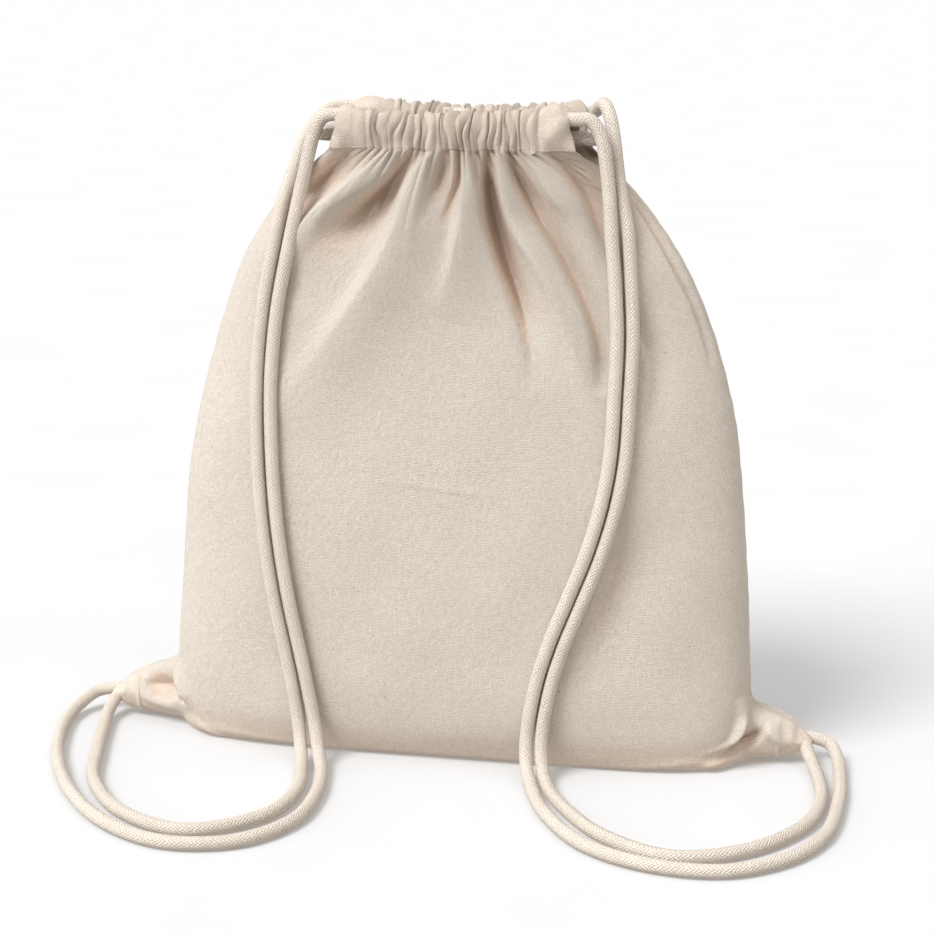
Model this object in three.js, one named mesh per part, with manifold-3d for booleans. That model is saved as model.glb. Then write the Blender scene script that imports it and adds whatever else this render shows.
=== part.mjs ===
// A drawstring backpack of plain cotton canvas, standing upright with its mouth drawn shut.
// Two panels make the sack. Each is folded over at the top into a tunnel, the casing.
// Two braided cords run through both casings and end in the sack's bottom corners.
// Millimetres. +Z is up, the front faces -Y, +X is the viewer's right.
import * as THREE from 'three';
import { mergeVertices } from 'three/addons/utils/BufferGeometryUtils.js';
import Module from 'manifold-3d';

const wasm = await Module();
wasm.setup();

// ---- driving dimensions ----
const CLOTH = 1.3;             // thickness given to the canvas
const GAP = 0.3;               // air between pieces that touch
const RING_POINTS = 48;        // points round one level of the sack
const PANEL_TOP = 306.6;       // where the panels meet the casings
const MAX_DEPTH = 46;          // half of the sack's depth at its fattest

const MOUTH_LEFT = -57;        // ends of the gathered casings
const MOUTH_RIGHT = 66;
const CASING_DEPTH = 19.6;     // casing outside, front to back
const CASING_HEIGHT = 21.2;
const CASING_Y = 15.2;         // middle of a casing, from the middle of the bag
const CASING_CORNER = 3;       // rounding of the casing's section
const REAR_CASING_LIFT = 0.6;  // the rear casing sits a little higher

const EAR_TIP_X = 186;         // the corners stick out as ears, from corner to corner 372
const EAR_TIP_Z = 11.2;

const CORD_DIAMETER = 6.8;
const CORD_SIDES = 8;
const CORD_STEPS = 104;

const SEAM_WIDTH = 8;          // overlocked seam allowance inside the sack
const SEAM_THICKNESS = 2.4;
const THREAD = 0.8;            // thickness of a stitch row

// The sack, level by level: height, left edge, right edge, half depth, and how square the
// level's outline is (2 is an ellipse, larger is boxier).
const LEVELS = [
  { z: 0, left: -136, right: 147, depth: 31.5, square: 4 },
  { z: 6, left: -141, right: 150.5, depth: 37.5, square: 3.8 },
  { z: 15, left: -143.5, right: 152, depth: 42, square: 3.4 },
  { z: 30, left: -144.5, right: 153.2, depth: 45, square: 3.1 },
  { z: 60, left: -143.5, right: 152.5, depth: MAX_DEPTH, square: 2.8 },
  { z: 100, left: -141, right: 150.5, depth: 45, square: 2.6 },
  { z: 140, left: -137, right: 147, depth: 42.5, square: 2.5 },
  { z: 180, left: -129.5, right: 141.5, depth: 38.5, square: 2.4 },
  { z: 220, left: -118, right: 130, depth: 34, square: 2.3 },
  { z: 255, left: -104, right: 114, depth: 30, square: 2.2 },
  { z: 285, left: -82, right: 92, depth: 26.5, square: 2.1 },
  { z: PANEL_TOP, left: -62.5, right: 70.5, depth: 24.9, square: 2 },
];

// An ear, from inside the sack to its tip: distance from the middle, height of the section's
// middle, half height and half depth. The sack is fuller on the right, so the right ear
// starts further out.
const EAR = [
  { left: 132, right: 141, z: 16.5, high: 15, deep: 22 },
  { left: 146, right: 155, z: 15.8, high: 14.8, deep: 17 },
  { left: 158, right: 165, z: 15, high: 13.6, deep: 12.5 },
  { left: 171, right: 174, z: 13.4, high: 10.2, deep: 10 },
  { left: 180, right: 181, z: 12, high: 7, deep: 9.2 },
  { left: EAR_TIP_X, right: EAR_TIP_X, z: EAR_TIP_Z, high: 5.6, deep: 8.8 },
];

// Each cord is one length: from the corner up the front, through the front casing, round its
// far end, back through the rear casing, and down to the same corner.
const LEFT_CORD_ROUTE = [
  // front strand, from the ear over the ground and up the front
  [-175, 3.6, 11.2], [-187, 3.6, 11.4], [-196, 1, 9.8], [-201.5, -8, 6.2], [-203, -22, 3.9], [-197, -52, 3.7],
  [-185, -84, 3.7], [-163, -122, 3.7], [-133, -153.5, 3.7], [-100, -168, 3.7], [-68, -160, 3.7], [-49.5, -134, 3.7],
  [-47, -100, 3.7], [-52, -71, 4.2], [-57.5, -56, 8.5], [-60.8, -49.8, 20], [-65.8, -48, 45], [-75.2, -46, 90],
  [-80.5, -43, 125], [-83.6, -38.4, 160], [-84.6, -33, 195], [-81.8, -29.2, 228], [-76.8, -26.2, 256],
  [-72.6, -22.6, 278], [-68.6, -20.4, 296], [-65, -19.3, 311], [-61, -18.95, 319.8],
  // front casing, round the right end, rear casing
  [-57, -18.95, 322.1], [-20, -18.95, 319.6], [4.5, -11.45, 319.6], [28, -11.45, 312.8], [66, -11.45, 312.6],
  [70, -11.2, 312.2], [77, 0, 312], [70, 11.2, 312.6], [66, 11.45, 312.8], [28, 11.45, 312.8],
  [4.5, 11.45, 320.2], [-20, 18.95, 320.2], [-57, 18.95, 322.8],
  // rear strand, over the edge and down the front beside the other
  [-63, 17.8, 322.6], [-69, 12, 319], [-74.3, 4, 310], [-77.2, -4.5, 298], [-81.6, -15.8, 279], [-86, -24.2, 252],
  [-90, -28, 225], [-92.3, -32, 192], [-91.4, -37, 157], [-88.2, -42, 123], [-82.8, -45.2, 88], [-73.4, -47.2, 43],
  [-69.6, -48.6, 20], [-67, -54.5, 8.8], [-63, -68, 4.2], [-57.5, -97, 3.7], [-64, -129, 3.7], [-95, -153, 3.7],
  [-131, -139, 3.7], [-158, -105, 3.7], [-171, -66, 3.7], [-179, -36, 3.7], [-183.3, -18, 4.8], [-183.5, -10, 7.6],
  [-182.5, -4.2, 10.2],
];

const RIGHT_CORD_ROUTE = [
  // front strand, from the ear over the ground and up the front
  [175, 3.6, 11.2], [187, 3.6, 11.2], [194.5, 1, 9.5], [198.5, -8, 6], [200.4, -24, 3.9], [201.4, -57, 3.7],
  [196, -103, 3.7], [181, -130.5, 3.7], [155, -149, 3.7], [122, -149.5, 3.7], [90, -134, 3.7], [65.5, -101, 3.7],
  [53, -69, 4.2], [48.8, -56, 8.5], [47.6, -50.3, 20], [51.6, -49.2, 47], [57.5, -49, 68], [66.5, -47.9, 92],
  [75.5, -45.7, 116], [82, -43.1, 140], [85.6, -39.7, 163], [86.6, -36.2, 190], [87, -31.8, 220],
  [85.2, -28.4, 245], [82.5, -24.6, 270], [81.2, -22.8, 285], [79.4, -21, 299], [77.2, -20, 311.5],
  [73.8, -19.3, 319], [70, -19, 322.1],
  // front casing, round the left end, rear casing
  [66, -18.95, 322.1], [28, -18.95, 319.9], [4.5, -18.95, 312.2], [-20, -11.45, 312.2], [-57, -11.45, 312.2],
  [-61, -11.2, 312.2], [-68, 0, 312], [-61, 11.2, 312.6], [-57, 11.45, 312.8], [-20, 11.45, 312.8],
  [4.5, 18.95, 312.8], [28, 18.95, 320.4], [66, 18.95, 321.8],
  // rear strand, over the edge and down the front beside the other
  [70, 16.5, 324.6], [72.8, 9.5, 327], [75.6, 2.5, 326.2], [78.8, -4, 320.4], [81.4, -9, 310],
  [83.9, -13.5, 296], [86.4, -17.3, 284], [89.8, -20.8, 271], [92.6, -25.8, 245.5], [94.4, -29.8, 220.5],
  [94, -34.4, 190], [92.9, -38.3, 162], [89.2, -41.8, 138.5], [82.4, -44.6, 113.8], [73.3, -47, 89.5],
  [64.5, -48.3, 66], [58.9, -48.7, 46], [55.2, -50.3, 20], [56.7, -56, 8.5], [61, -68, 4.2], [75, -95, 3.7],
  [98, -123, 3.7], [130, -138.5, 3.7], [162, -125, 3.7], [187, -91, 3.7], [193, -57, 3.7], [190, -30, 4.1],
  [187, -17, 5], [184.5, -10, 7.6], [182.5, -4.2, 10.2],
];

// ---- materials ----
const canvas = (color) => new THREE.MeshStandardMaterial({ color, roughness: 0.95, metalness: 0 });
const CANVAS_COLOR = 0xe3d8c8;
const CORD_COLOR = 0xe9e0d2;
const THREAD_COLOR = 0xe6dccc;

// ---- geometry helpers ----
// The closed skin over a stack of rings with the same number of points, ends capped flat.
function loft(rings) {
  const count = rings[0].length;
  const positions = rings.flat().flatMap((p) => [p.x, p.y, p.z]);
  const indices = [];
  for (let r = 0; r + 1 < rings.length; r += 1) {
    for (let i = 0; i < count; i += 1) {
      const a = r * count + i;
      const b = r * count + ((i + 1) % count);
      indices.push(a, b, b + count, a, b + count, a + count);
    }
  }
  const cap = (ring, start, flip) => {
    const middle = ring.reduce((sum, p) => sum.add(p), new THREE.Vector3()).divideScalar(count);
    const hub = positions.length / 3;
    positions.push(middle.x, middle.y, middle.z);
    for (let i = 0; i < count; i += 1) {
      const a = start + i;
      const b = start + ((i + 1) % count);
      indices.push(...(flip ? [hub, b, a] : [hub, a, b]));
    }
  };
  cap(rings[0], 0, true);
  cap(rings.at(-1), (rings.length - 1) * count, false);
  const geometry = new THREE.BufferGeometry();
  geometry.setAttribute('position', new THREE.Float32BufferAttribute(positions, 3));
  geometry.setIndex(indices);
  return geometry;
}

function toSolid(geometry) {
  const bare = geometry.clone();
  bare.deleteAttribute('normal');
  bare.deleteAttribute('uv');
  const merged = mergeVertices(bare);
  return new wasm.Manifold(new wasm.Mesh({
    numProp: 3,
    vertProperties: new Float32Array(merged.getAttribute('position').array),
    triVerts: new Uint32Array(merged.getIndex().array),
  }));
}

function toGeometry(solid) {
  const mesh = solid.getMesh();
  const geometry = new THREE.BufferGeometry();
  geometry.setAttribute('position', new THREE.BufferAttribute(mesh.vertProperties, 3));
  geometry.setIndex(new THREE.BufferAttribute(mesh.triVerts, 1));
  geometry.computeVertexNormals();
  return geometry;
}

function boxSolid([x0, x1], [y0, y1], [z0, z1]) {
  const box = new THREE.BoxGeometry(x1 - x0, y1 - y0, z1 - z0);
  box.translate((x0 + x1) / 2, (y0 + y1) / 2, (z0 + z1) / 2);
  return toSolid(box);
}

// A point on a superellipse, as a pair from -1 to 1.
function superellipse(angle, square) {
  const power = 2 / square;
  const stretch = (v) => Math.sign(v) * Math.abs(v) ** power;
  return [stretch(Math.cos(angle)), stretch(Math.sin(angle))];
}

// ---- the sack ----
// The sack's body, shrunk by inset on its sides and floor. The inner one runs out of the top.
function sackSolid(inset) {
  const rings = LEVELS.map(({ z, left, right, depth, square }, level) => {
    const half = (right - left) / 2 - inset;
    const height = level === 0 ? inset : z + (level === LEVELS.length - 1 ? inset : 0);
    return Array.from({ length: RING_POINTS }, (_, i) => {
      const [a, b] = superellipse((i * 2 * Math.PI) / RING_POINTS, square);
      return new THREE.Vector3((left + right) / 2 + half * a, (depth - inset) * b, height);
    });
  });
  return toSolid(loft(rings));
}

// One ear, side -1 for the left and 1 for the right, shrunk by inset and open at its tip.
function earSolid(side, inset) {
  const points = 20;
  const squareness = 2.4;
  const stations = EAR.map((s) => ({ ...s, x: side < 0 ? s.left : s.right }));
  const rings = stations.map(({ x, z, high, deep }, i) => {
    const past = i === stations.length - 1 ? Math.max(inset, 0) : 0;
    return Array.from({ length: points }, (_, k) => {
      const [a, b] = superellipse((k * 2 * Math.PI) / points, squareness);
      return new THREE.Vector3(side * (x + past), side * (deep - inset) * a, z + (high - inset) * b);
    });
  });
  return toSolid(loft(rings));
}

function cordGeometry(route, diameter, steps) {
  const path = new THREE.CatmullRomCurve3(route.map((p) => new THREE.Vector3(...p)));
  path.arcLengthDivisions = route.length * 40;
  const section = new THREE.Shape();
  for (let i = 0; i < CORD_SIDES; i += 1) {
    const angle = (i * 2 * Math.PI) / CORD_SIDES;
    const point = [(diameter / 2) * Math.cos(angle), (diameter / 2) * Math.sin(angle)];
    if (i === 0) section.moveTo(...point);
    else section.lineTo(...point);
  }
  section.closePath();
  return new THREE.ExtrudeGeometry(section, { extrudePath: path, steps });
}

// Room for the cords where they enter an ear.
function cordSleeves() {
  const nearEar = 4;
  const sleeve = CORD_DIAMETER + 2 * GAP + 1;
  const steps = 5;
  const ends = [LEFT_CORD_ROUTE, RIGHT_CORD_ROUTE].flatMap((route) => [
    route.slice(0, nearEar), route.slice(-nearEar - 1),
  ]);
  return ends.map((end) => toSolid(cordGeometry(end, sleeve, steps)));
}

function panels() {
  let cloth = sackSolid(0);
  for (const side of [-1, 1]) cloth = cloth.add(earSolid(side, 0));
  cloth = cloth.subtract(sackSolid(CLOTH));
  for (const side of [-1, 1]) cloth = cloth.subtract(earSolid(side, CLOTH));
  for (const sleeve of cordSleeves()) cloth = cloth.subtract(sleeve);
  const far = 400;
  const all = [-far, far];
  return {
    front: cloth.intersect(boxSolid(all, [-far, -GAP / 2], [-1, PANEL_TOP])),
    back: cloth.intersect(boxSolid(all, [GAP / 2, far], [-1, PANEL_TOP])),
  };
}

// ---- casings ----
function roundedRectangle(width, height, radius, Target) {
  const [x, y] = [width / 2, height / 2];
  const outline = new Target();
  outline.moveTo(-x + radius, -y);
  outline.lineTo(x - radius, -y);
  outline.absarc(x - radius, -y + radius, radius, -Math.PI / 2, 0);
  outline.lineTo(x, y - radius);
  outline.absarc(x - radius, y - radius, radius, 0, Math.PI / 2);
  outline.lineTo(-x + radius, y);
  outline.absarc(-x + radius, y - radius, radius, Math.PI / 2, Math.PI);
  outline.lineTo(-x, -y + radius);
  outline.absarc(-x + radius, -y + radius, radius, Math.PI, 1.5 * Math.PI);
  return outline;
}

// A tunnel along X, side -1 in front and 1 behind.
function casingMesh(name, side, lift) {
  const section = roundedRectangle(CASING_DEPTH, CASING_HEIGHT, CASING_CORNER, THREE.Shape);
  section.holes.push(roundedRectangle(
    CASING_DEPTH - 2 * CLOTH, CASING_HEIGHT - 2 * CLOTH, CASING_CORNER - CLOTH, THREE.Path));
  const geometry = new THREE.ExtrudeGeometry(section, {
    depth: MOUTH_RIGHT - MOUTH_LEFT, bevelEnabled: false, curveSegments: 4, steps: 1,
  });
  const mesh = new THREE.Mesh(geometry, canvas(CANVAS_COLOR));
  mesh.name = name;
  mesh.setRotationFromMatrix(new THREE.Matrix4().makeBasis(
    new THREE.Vector3(0, 1, 0), new THREE.Vector3(0, 0, 1), new THREE.Vector3(1, 0, 0)));
  mesh.position.set(MOUTH_LEFT, side * CASING_Y, PANEL_TOP + GAP + CASING_HEIGHT / 2 + lift);
  return mesh;
}

// The row of stitches that closes a casing, along its outer face near the bottom.
function stitchRow(name, side, lift) {
  const fromEnd = 2;
  const above = CASING_CORNER + 0.4;
  const length = MOUTH_RIGHT - MOUTH_LEFT - 2 * fromEnd;
  const mesh = new THREE.Mesh(new THREE.BoxGeometry(length, THREAD, THREAD), canvas(THREAD_COLOR));
  mesh.name = name;
  const y = CASING_Y + CASING_DEPTH / 2 + GAP + THREAD / 2;
  mesh.position.set((MOUTH_LEFT + MOUTH_RIGHT) / 2, side * y, PANEL_TOP + GAP + above + lift);
  return mesh;
}

// ---- seams inside the sack ----
// A flat outline in X and Z, given as [x, z] points, standing on the seam line.
function seamMesh(name, outline) {
  const shape = new THREE.Shape(outline.map(([x, z]) => new THREE.Vector2(x, z)));
  const geometry = new THREE.ExtrudeGeometry(shape, { depth: SEAM_THICKNESS, bevelEnabled: false });
  const mesh = new THREE.Mesh(geometry, canvas(CANVAS_COLOR));
  mesh.name = name;
  mesh.rotation.x = Math.PI / 2;
  mesh.position.y = SEAM_THICKNESS / 2;
  return mesh;
}

// The side seams run from above the ear to the slit below the casing's end.
function sideSeam(name, side) {
  const [lowest, highest] = [60, 285];
  const levels = LEVELS.filter(({ z }) => z >= lowest && z <= highest);
  const edge = ({ left, right, z }, inset) => [(side < 0 ? left : right) - side * inset, z];
  const clear = CLOTH + GAP + 0.5;
  return seamMesh(name, [
    ...levels.map((level) => edge(level, clear)),
    ...levels.toReversed().map((level) => edge(level, clear + SEAM_WIDTH)),
  ]);
}

function bottomSeam() {
  const [left, right] = [-122, 131];
  const low = CLOTH + GAP;
  return seamMesh('bottom_seam', [[left, low], [right, low], [right, low + SEAM_WIDTH], [left, low + SEAM_WIDTH]]);
}

// Dense stitching across an ear, through which the cord ends are held. It follows the cloth.
function bartackMesh(name, side) {
  const [near, wide] = [167, 3.2];
  const skin = earSolid(side, -GAP - THREAD).subtract(earSolid(side, -GAP));
  const span = [side * near, side * (near + wide)].sort((a, b) => a - b);
  const mesh = new THREE.Mesh(toGeometry(skin.intersect(boxSolid(span, [-30, -4], [7, 20]))), canvas(THREAD_COLOR));
  mesh.name = name;
  return mesh;
}

function named(name, geometry, color) {
  const mesh = new THREE.Mesh(geometry, canvas(color));
  mesh.name = name;
  return mesh;
}

// ---- assembly ----
const backpack = new THREE.Group();
backpack.name = 'drawstring_backpack';

const { front, back } = panels();
const sack = new THREE.Group();
sack.add(
  named('front_panel', toGeometry(front), CANVAS_COLOR),
  named('back_panel', toGeometry(back), CANVAS_COLOR),
  sideSeam('left_side_seam', -1),
  sideSeam('right_side_seam', 1),
  bottomSeam(),
  bartackMesh('left_corner_bartack', -1),
  bartackMesh('right_corner_bartack', 1),
);

const mouth = new THREE.Group();
mouth.add(
  casingMesh('front_casing', -1, 0),
  stitchRow('front_casing_stitching', -1, 0),
  casingMesh('back_casing', 1, REAR_CASING_LIFT),
  stitchRow('back_casing_stitching', 1, REAR_CASING_LIFT),
);

const cords = new THREE.Group();
cords.add(
  named('left_cord', cordGeometry(LEFT_CORD_ROUTE, CORD_DIAMETER, CORD_STEPS), CORD_COLOR),
  named('right_cord', cordGeometry(RIGHT_CORD_ROUTE, CORD_DIAMETER, CORD_STEPS), CORD_COLOR),
);

backpack.add(sack, mouth, cords);

export default backpack;
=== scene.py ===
"""A cotton drawstring backpack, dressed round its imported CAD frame.

Lengths in the tables are millimetres, as in the CAD source, and become metres when a mesh is made.
+Z is up, the front faces -Y and +X is the viewer's right.
"""
import math

import bpy
import numpy as np
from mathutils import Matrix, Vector
from mathutils.bvhtree import BVHTree


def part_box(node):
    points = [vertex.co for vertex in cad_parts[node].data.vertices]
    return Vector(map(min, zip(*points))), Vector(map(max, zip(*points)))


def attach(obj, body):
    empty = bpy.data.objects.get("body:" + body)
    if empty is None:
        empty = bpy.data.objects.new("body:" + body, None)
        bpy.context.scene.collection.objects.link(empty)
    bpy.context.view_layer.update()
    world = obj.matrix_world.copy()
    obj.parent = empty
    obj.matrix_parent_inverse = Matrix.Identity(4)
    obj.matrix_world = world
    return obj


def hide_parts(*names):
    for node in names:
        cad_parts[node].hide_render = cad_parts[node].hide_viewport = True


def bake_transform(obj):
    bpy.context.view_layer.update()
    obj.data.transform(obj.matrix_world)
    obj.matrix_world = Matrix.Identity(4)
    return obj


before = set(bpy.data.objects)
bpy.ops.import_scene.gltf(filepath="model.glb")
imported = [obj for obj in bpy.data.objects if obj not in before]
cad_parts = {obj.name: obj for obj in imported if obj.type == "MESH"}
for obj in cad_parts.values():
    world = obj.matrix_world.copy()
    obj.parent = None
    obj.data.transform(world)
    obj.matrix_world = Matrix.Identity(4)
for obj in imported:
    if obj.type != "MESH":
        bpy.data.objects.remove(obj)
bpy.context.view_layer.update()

MM = 0.001

# ---- the view ----
CAMERA_AZIMUTH = math.radians(11.4)
CAMERA_ELEVATION = math.radians(14.25)
CAMERA_DISTANCE = 1.1187
CAMERA_TARGET = Vector((0.0076, 0.0, 0.1443))
CAMERA_REACH = 50           # metres
LENS_MM = 85.0

# ---- the light ----
# Distant lights: azimuth from the front, negative to the left, and elevation in degrees; how wide
# the light looks from the bag, which softens its shadows; strength.
SUNS = {"key": (-38, 50, 26, 2.3), "side": (-62, 12, 50, 0.68), "top": (20, 70, 80, 0.55)}
FILL_STRENGTH = 0.64
FILL_COLOR = (1.0, 0.95, 0.90, 1)
FLOOR_GLOW = 0.06          # light the floor gives of itself, which keeps its shadows pale
FLOOR_HALF = 60000

# ---- cords ----
CORD_DIAMETER = 6.8
CORD_RING_STEP = 0.62      # length of cord from one ring of the tube to the next
CORD_SIDES = 30
BRAID_STRANDS = 14         # yarns that wind each way round a cord
BRAID_PITCH = 2.05         # length of cord in which a yarn moves to its neighbour's place
BRAID_RELIEF = 0.3

# Each cord is one length: from its corner up the front, through the front casing, round the far
# end, back through the rear casing, and down to the same corner.
LEFT_CORD_ROUTE = [
    (-175, 3.6, 11.2), (-187, 3.6, 11.4), (-196, 1, 9.8), (-201.5, -8, 6.2), (-203, -22, 3.9),
    (-197, -52, 3.7), (-185, -84, 3.7), (-163, -122, 3.7), (-133, -153.5, 3.7), (-100, -168, 3.7),
    (-68, -160, 3.7), (-49.5, -134, 3.7), (-47, -100, 3.7), (-52, -71, 4.2), (-57.5, -56, 8.5),
    (-60.8, -49.8, 20), (-65.8, -48, 45), (-75.2, -46, 90), (-80.5, -43, 125), (-83.6, -38.4, 160),
    (-84.6, -33, 195), (-81.8, -29.2, 228), (-76.8, -26.2, 256), (-72.6, -22.6, 278),
    (-68.6, -20.4, 296), (-65, -19.3, 311), (-61, -18.95, 319.8),
    # front casing, round the right end, rear casing
    (-57, -18.95, 322.1), (-20, -18.95, 319.6), (4.5, -11.45, 319.6), (28, -11.45, 312.8),
    (66, -11.45, 312.6), (70, -11.2, 312.2), (77, 0, 312), (70, 11.2, 312.6), (66, 11.45, 312.8),
    (28, 11.45, 312.8), (4.5, 11.45, 320.2), (-20, 18.95, 320.2), (-57, 18.95, 322.8),
    # rear strand, over the edge and down the front beside the other
    (-63, 17.8, 322.6), (-69, 12, 319), (-74.3, 4, 310), (-77.2, -4.5, 298), (-81.6, -15.8, 279),
    (-86, -24.2, 252), (-90, -28, 225), (-92.3, -32, 192), (-91.4, -37, 157), (-88.2, -42, 123),
    (-82.8, -45.2, 88), (-73.4, -47.2, 43), (-69.6, -48.6, 20), (-67, -54.5, 8.8), (-63, -68, 4.2),
    (-57.5, -97, 3.7), (-64, -129, 3.7), (-95, -153, 3.7), (-131, -139, 3.7), (-158, -105, 3.7),
    (-171, -66, 3.7), (-179, -36, 3.7), (-183.3, -18, 4.8), (-183.5, -10, 7.6), (-182.5, -4.2, 10.2),
]
RIGHT_CORD_ROUTE = [
    (175, 3.6, 11.2), (187, 3.6, 11.2), (194.5, 1, 9.5), (198.5, -8, 6), (200.4, -24, 3.9),
    (201.4, -57, 3.7), (196, -103, 3.7), (181, -130.5, 3.7), (155, -149, 3.7), (122, -149.5, 3.7),
    (90, -134, 3.7), (65.5, -101, 3.7), (53, -69, 4.2), (48.8, -56, 8.5), (47.6, -50.3, 20),
    (51.6, -49.2, 47), (57.5, -49, 68), (66.5, -47.9, 92), (75.5, -45.7, 116), (82, -43.1, 140),
    (85.6, -39.7, 163), (86.6, -36.2, 190), (87, -31.8, 220), (85.2, -28.4, 245), (82.5, -24.6, 270),
    (81.2, -22.8, 285), (79.4, -21, 299), (77.2, -20, 311.5), (73.8, -19.3, 319), (70, -19, 322.1),
    # front casing, round the left end, rear casing
    (66, -18.95, 322.1), (28, -18.95, 319.9), (4.5, -18.95, 312.2), (-20, -11.45, 312.2),
    (-57, -11.45, 312.2), (-61, -11.2, 312.2), (-68, 0, 312), (-61, 11.2, 312.6),
    (-57, 11.45, 312.8), (-20, 11.45, 312.8), (4.5, 18.95, 312.8), (28, 18.95, 320.4),
    (66, 18.95, 321.8),
    # rear strand, over the edge and down the front beside the other
    (70, 16.5, 324.6), (72.8, 9.5, 327), (75.6, 2.5, 326.2), (78.8, -4, 320.4), (81.4, -9, 310),
    (83.9, -13.5, 296), (86.4, -17.3, 284), (89.8, -20.8, 271), (92.6, -25.8, 245.5),
    (94.4, -29.8, 220.5), (94, -34.4, 190), (92.9, -38.3, 162), (89.2, -41.8, 138.5),
    (82.4, -44.6, 113.8), (73.3, -47, 89.5), (64.5, -48.3, 66), (58.9, -48.7, 46), (55.2, -50.3, 20),
    (56.7, -56, 8.5), (61, -68, 4.2), (75, -95, 3.7), (98, -123, 3.7), (130, -138.5, 3.7),
    (162, -125, 3.7), (187, -91, 3.7), (193, -57, 3.7), (190, -30, 4.1), (187, -17, 5),
    (184.5, -10, 7.6), (182.5, -4.2, 10.2),
]

# ---- the sack ----
HALF_CUT = 186.0           # half the finished width of a panel
PANEL_HEIGHT = 345.0       # flat height of a panel, from the bottom seam to the casing's stitches
PANEL_TOP = 306.6
CLOTH = 0.7                # thickness shown for the canvas
FORM_LOWEST = 0.75         # how low the smooth form and the finished cloth may reach
CLOTH_LOWEST = 0.72
MOUTH_DEPTH = 24.9         # from the middle of the bag to the stitches of a casing
COARSE = (81, 73)          # rows and columns of the panel while it is shaped
FINE = (401, 433)          # rows and columns of the finished panel

# The sack, level by level: height, left edge, right edge, half depth, squareness of the outline.
LEVELS = np.array([
    (0, -140, 151, 33.5, 6), (6, -141, 150.5, 37.5, 3.8), (15, -143.5, 152, 42, 3.4),
    (30, -144.5, 153.2, 45, 3.1), (60, -143.5, 152.5, 46, 2.8), (100, -141, 150.5, 45, 2.6),
    (140, -137, 147, 42.5, 2.5), (180, -129.5, 141.5, 38.5, 2.4), (220, -118, 130, 34, 2.3),
    (255, -104, 114, 30, 2.3), (285, -82, 92, 26.5, 2.8), (306.6, -60, 69, 24.9, 6),
    (325, -58, 67, 24.9, 6),
])
# An ear, from inside the sack to its tip: left and right distance; height of the section's middle
# and half height, left then right; half depth.
EAR = np.array([
    (120, 129, 16.5, 14, 15.5, 13, 24), (132, 141, 17, 15.5, 15.2, 13.6, 22),
    (146, 155, 16.8, 15.8, 14.6, 13.2, 17), (158, 165, 15.8, 14.4, 14.2, 12.6, 12.5),
    (171, 174, 13.8, 10.6, 13.2, 10, 10), (180, 181, 12, 7, 12, 7, 9.2),
    (186, 186, 11.2, 5.6, 11.2, 5.6, 8.8),
])
# The line where front and back panels are sewn together, from an ear's tip up to the casing.
LEFT_EDGE = [
    (-186, 0, 11.2), (-181, 0, 17.2), (-172, 0, 24), (-161, 0, 29.4), (-151.5, 0, 33),
    (-146, 0, 37), (-144.4, 0, 46), (-143.7, 0, 60), (-141, 0, 100), (-137, 0, 140),
    (-129.5, 0, 180), (-118, 0, 220), (-104, 0, 255), (-83, 0, 283), (-69, -8, 297),
    (-57.5, -22.4, PANEL_TOP),
]
RIGHT_EDGE = [
    (186, 0, 11.2), (181.5, 0, 16.4), (174, 0, 21.8), (165, 0, 25.8), (158.5, 0, 27.4),
    (154.6, 0, 29.4), (153.3, 0, 34), (152.5, 0, 60), (150.5, 0, 100), (147, 0, 140),
    (141.5, 0, 180), (130, 0, 220), (114, 0, 255), (93, 0, 283), (78.5, -8, 297),
    (66.5, -22.4, PANEL_TOP),
]
BOTTOM_EDGE = [
    (-186, 0, 11.2), (-181, 0, 6.4), (-173, 0, 3), (-161, 0, 1.3), (-140, 0, 0.9), (0, 0, 0.9),
    (150, 0, 0.9), (165, 0, 1.3), (175, 0, 3.2), (181.5, 0, 6.4), (186, 0, 11.2),
]

# ---- gathers ----
# Where the creases between the gathers cross the stitches of each casing.
FRONT_CREASES = [
    -42.7, -36.8, -32.9, -29.4, -25.5, -23.5, -19.1, -14.2, -10.8, -8.3, -2.9, 0.6, 3.0,
    8.9, 11.4, 14.8, 17.3, 21.8, 24.6, 28.6, 32.5, 36.0, 38.9, 43.4, 47.3,
]
BACK_CREASES = [
    -36.6, -32.2, -28.0, -25.1, -20.3, -16.8, -13.9, -9.2, -5.6, -2.1, 2.4, 5.3, 9.1,
    12.9, 15.4, 20.2, 23.7, 26.5, 30.9, 34.4, 38.0, 41.2, 45.9, 49.4, 52.8,
]
SMOOTH_END = 20.0          # flat width at each end of a casing that is left ungathered
SMOOTH_MORE = 4            # more of it at the right end
GATHER_DEPTH = 2.7         # from the crest of a gather to the crease beside it
# Height of each casing's top edge along the mouth.
FRONT_CREST = [(-57, 325.6), (-45, 325.4), (-20, 324.2), (4, 323.8), (20, 324.8), (34, 326), (48, 327.6),
               (58, 328), (66, 326.6)]
BACK_CREST = [(-57, 326.6), (-40, 327), (-30, 326.2), (-14, 325.2), (4, 324.4), (28, 324.8), (45, 326),
              (58, 327.6), (66, 327.4)]
CASING_HEIGHT = 19.0       # used to space the section's points evenly
# A casing's section, from the stitches up the outside, over the top, down the inside and back:
# distance from the middle of the bag, and height as a share of the way to the crest.
CASING_SECTION = [
    (24.9, 0), (25.6, 0.12), (26.1, 0.32), (26.0, 0.55), (25.0, 0.76), (22.4, 0.93), (18.2, 1.0),
    (13.6, 0.97), (9.8, 0.84), (8.0, 0.62), (7.6, 0.36), (8.6, 0.12), (12, 0.01), (17, -0.02),
    (22.4, 0.0),
]

# ---- folds ----
FOLD_LEAN = 0.5            # how much steeper a valley's left flank is than its right one
FOLD_DEPTH = 1.95          # by how much the heights below are multiplied
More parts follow.
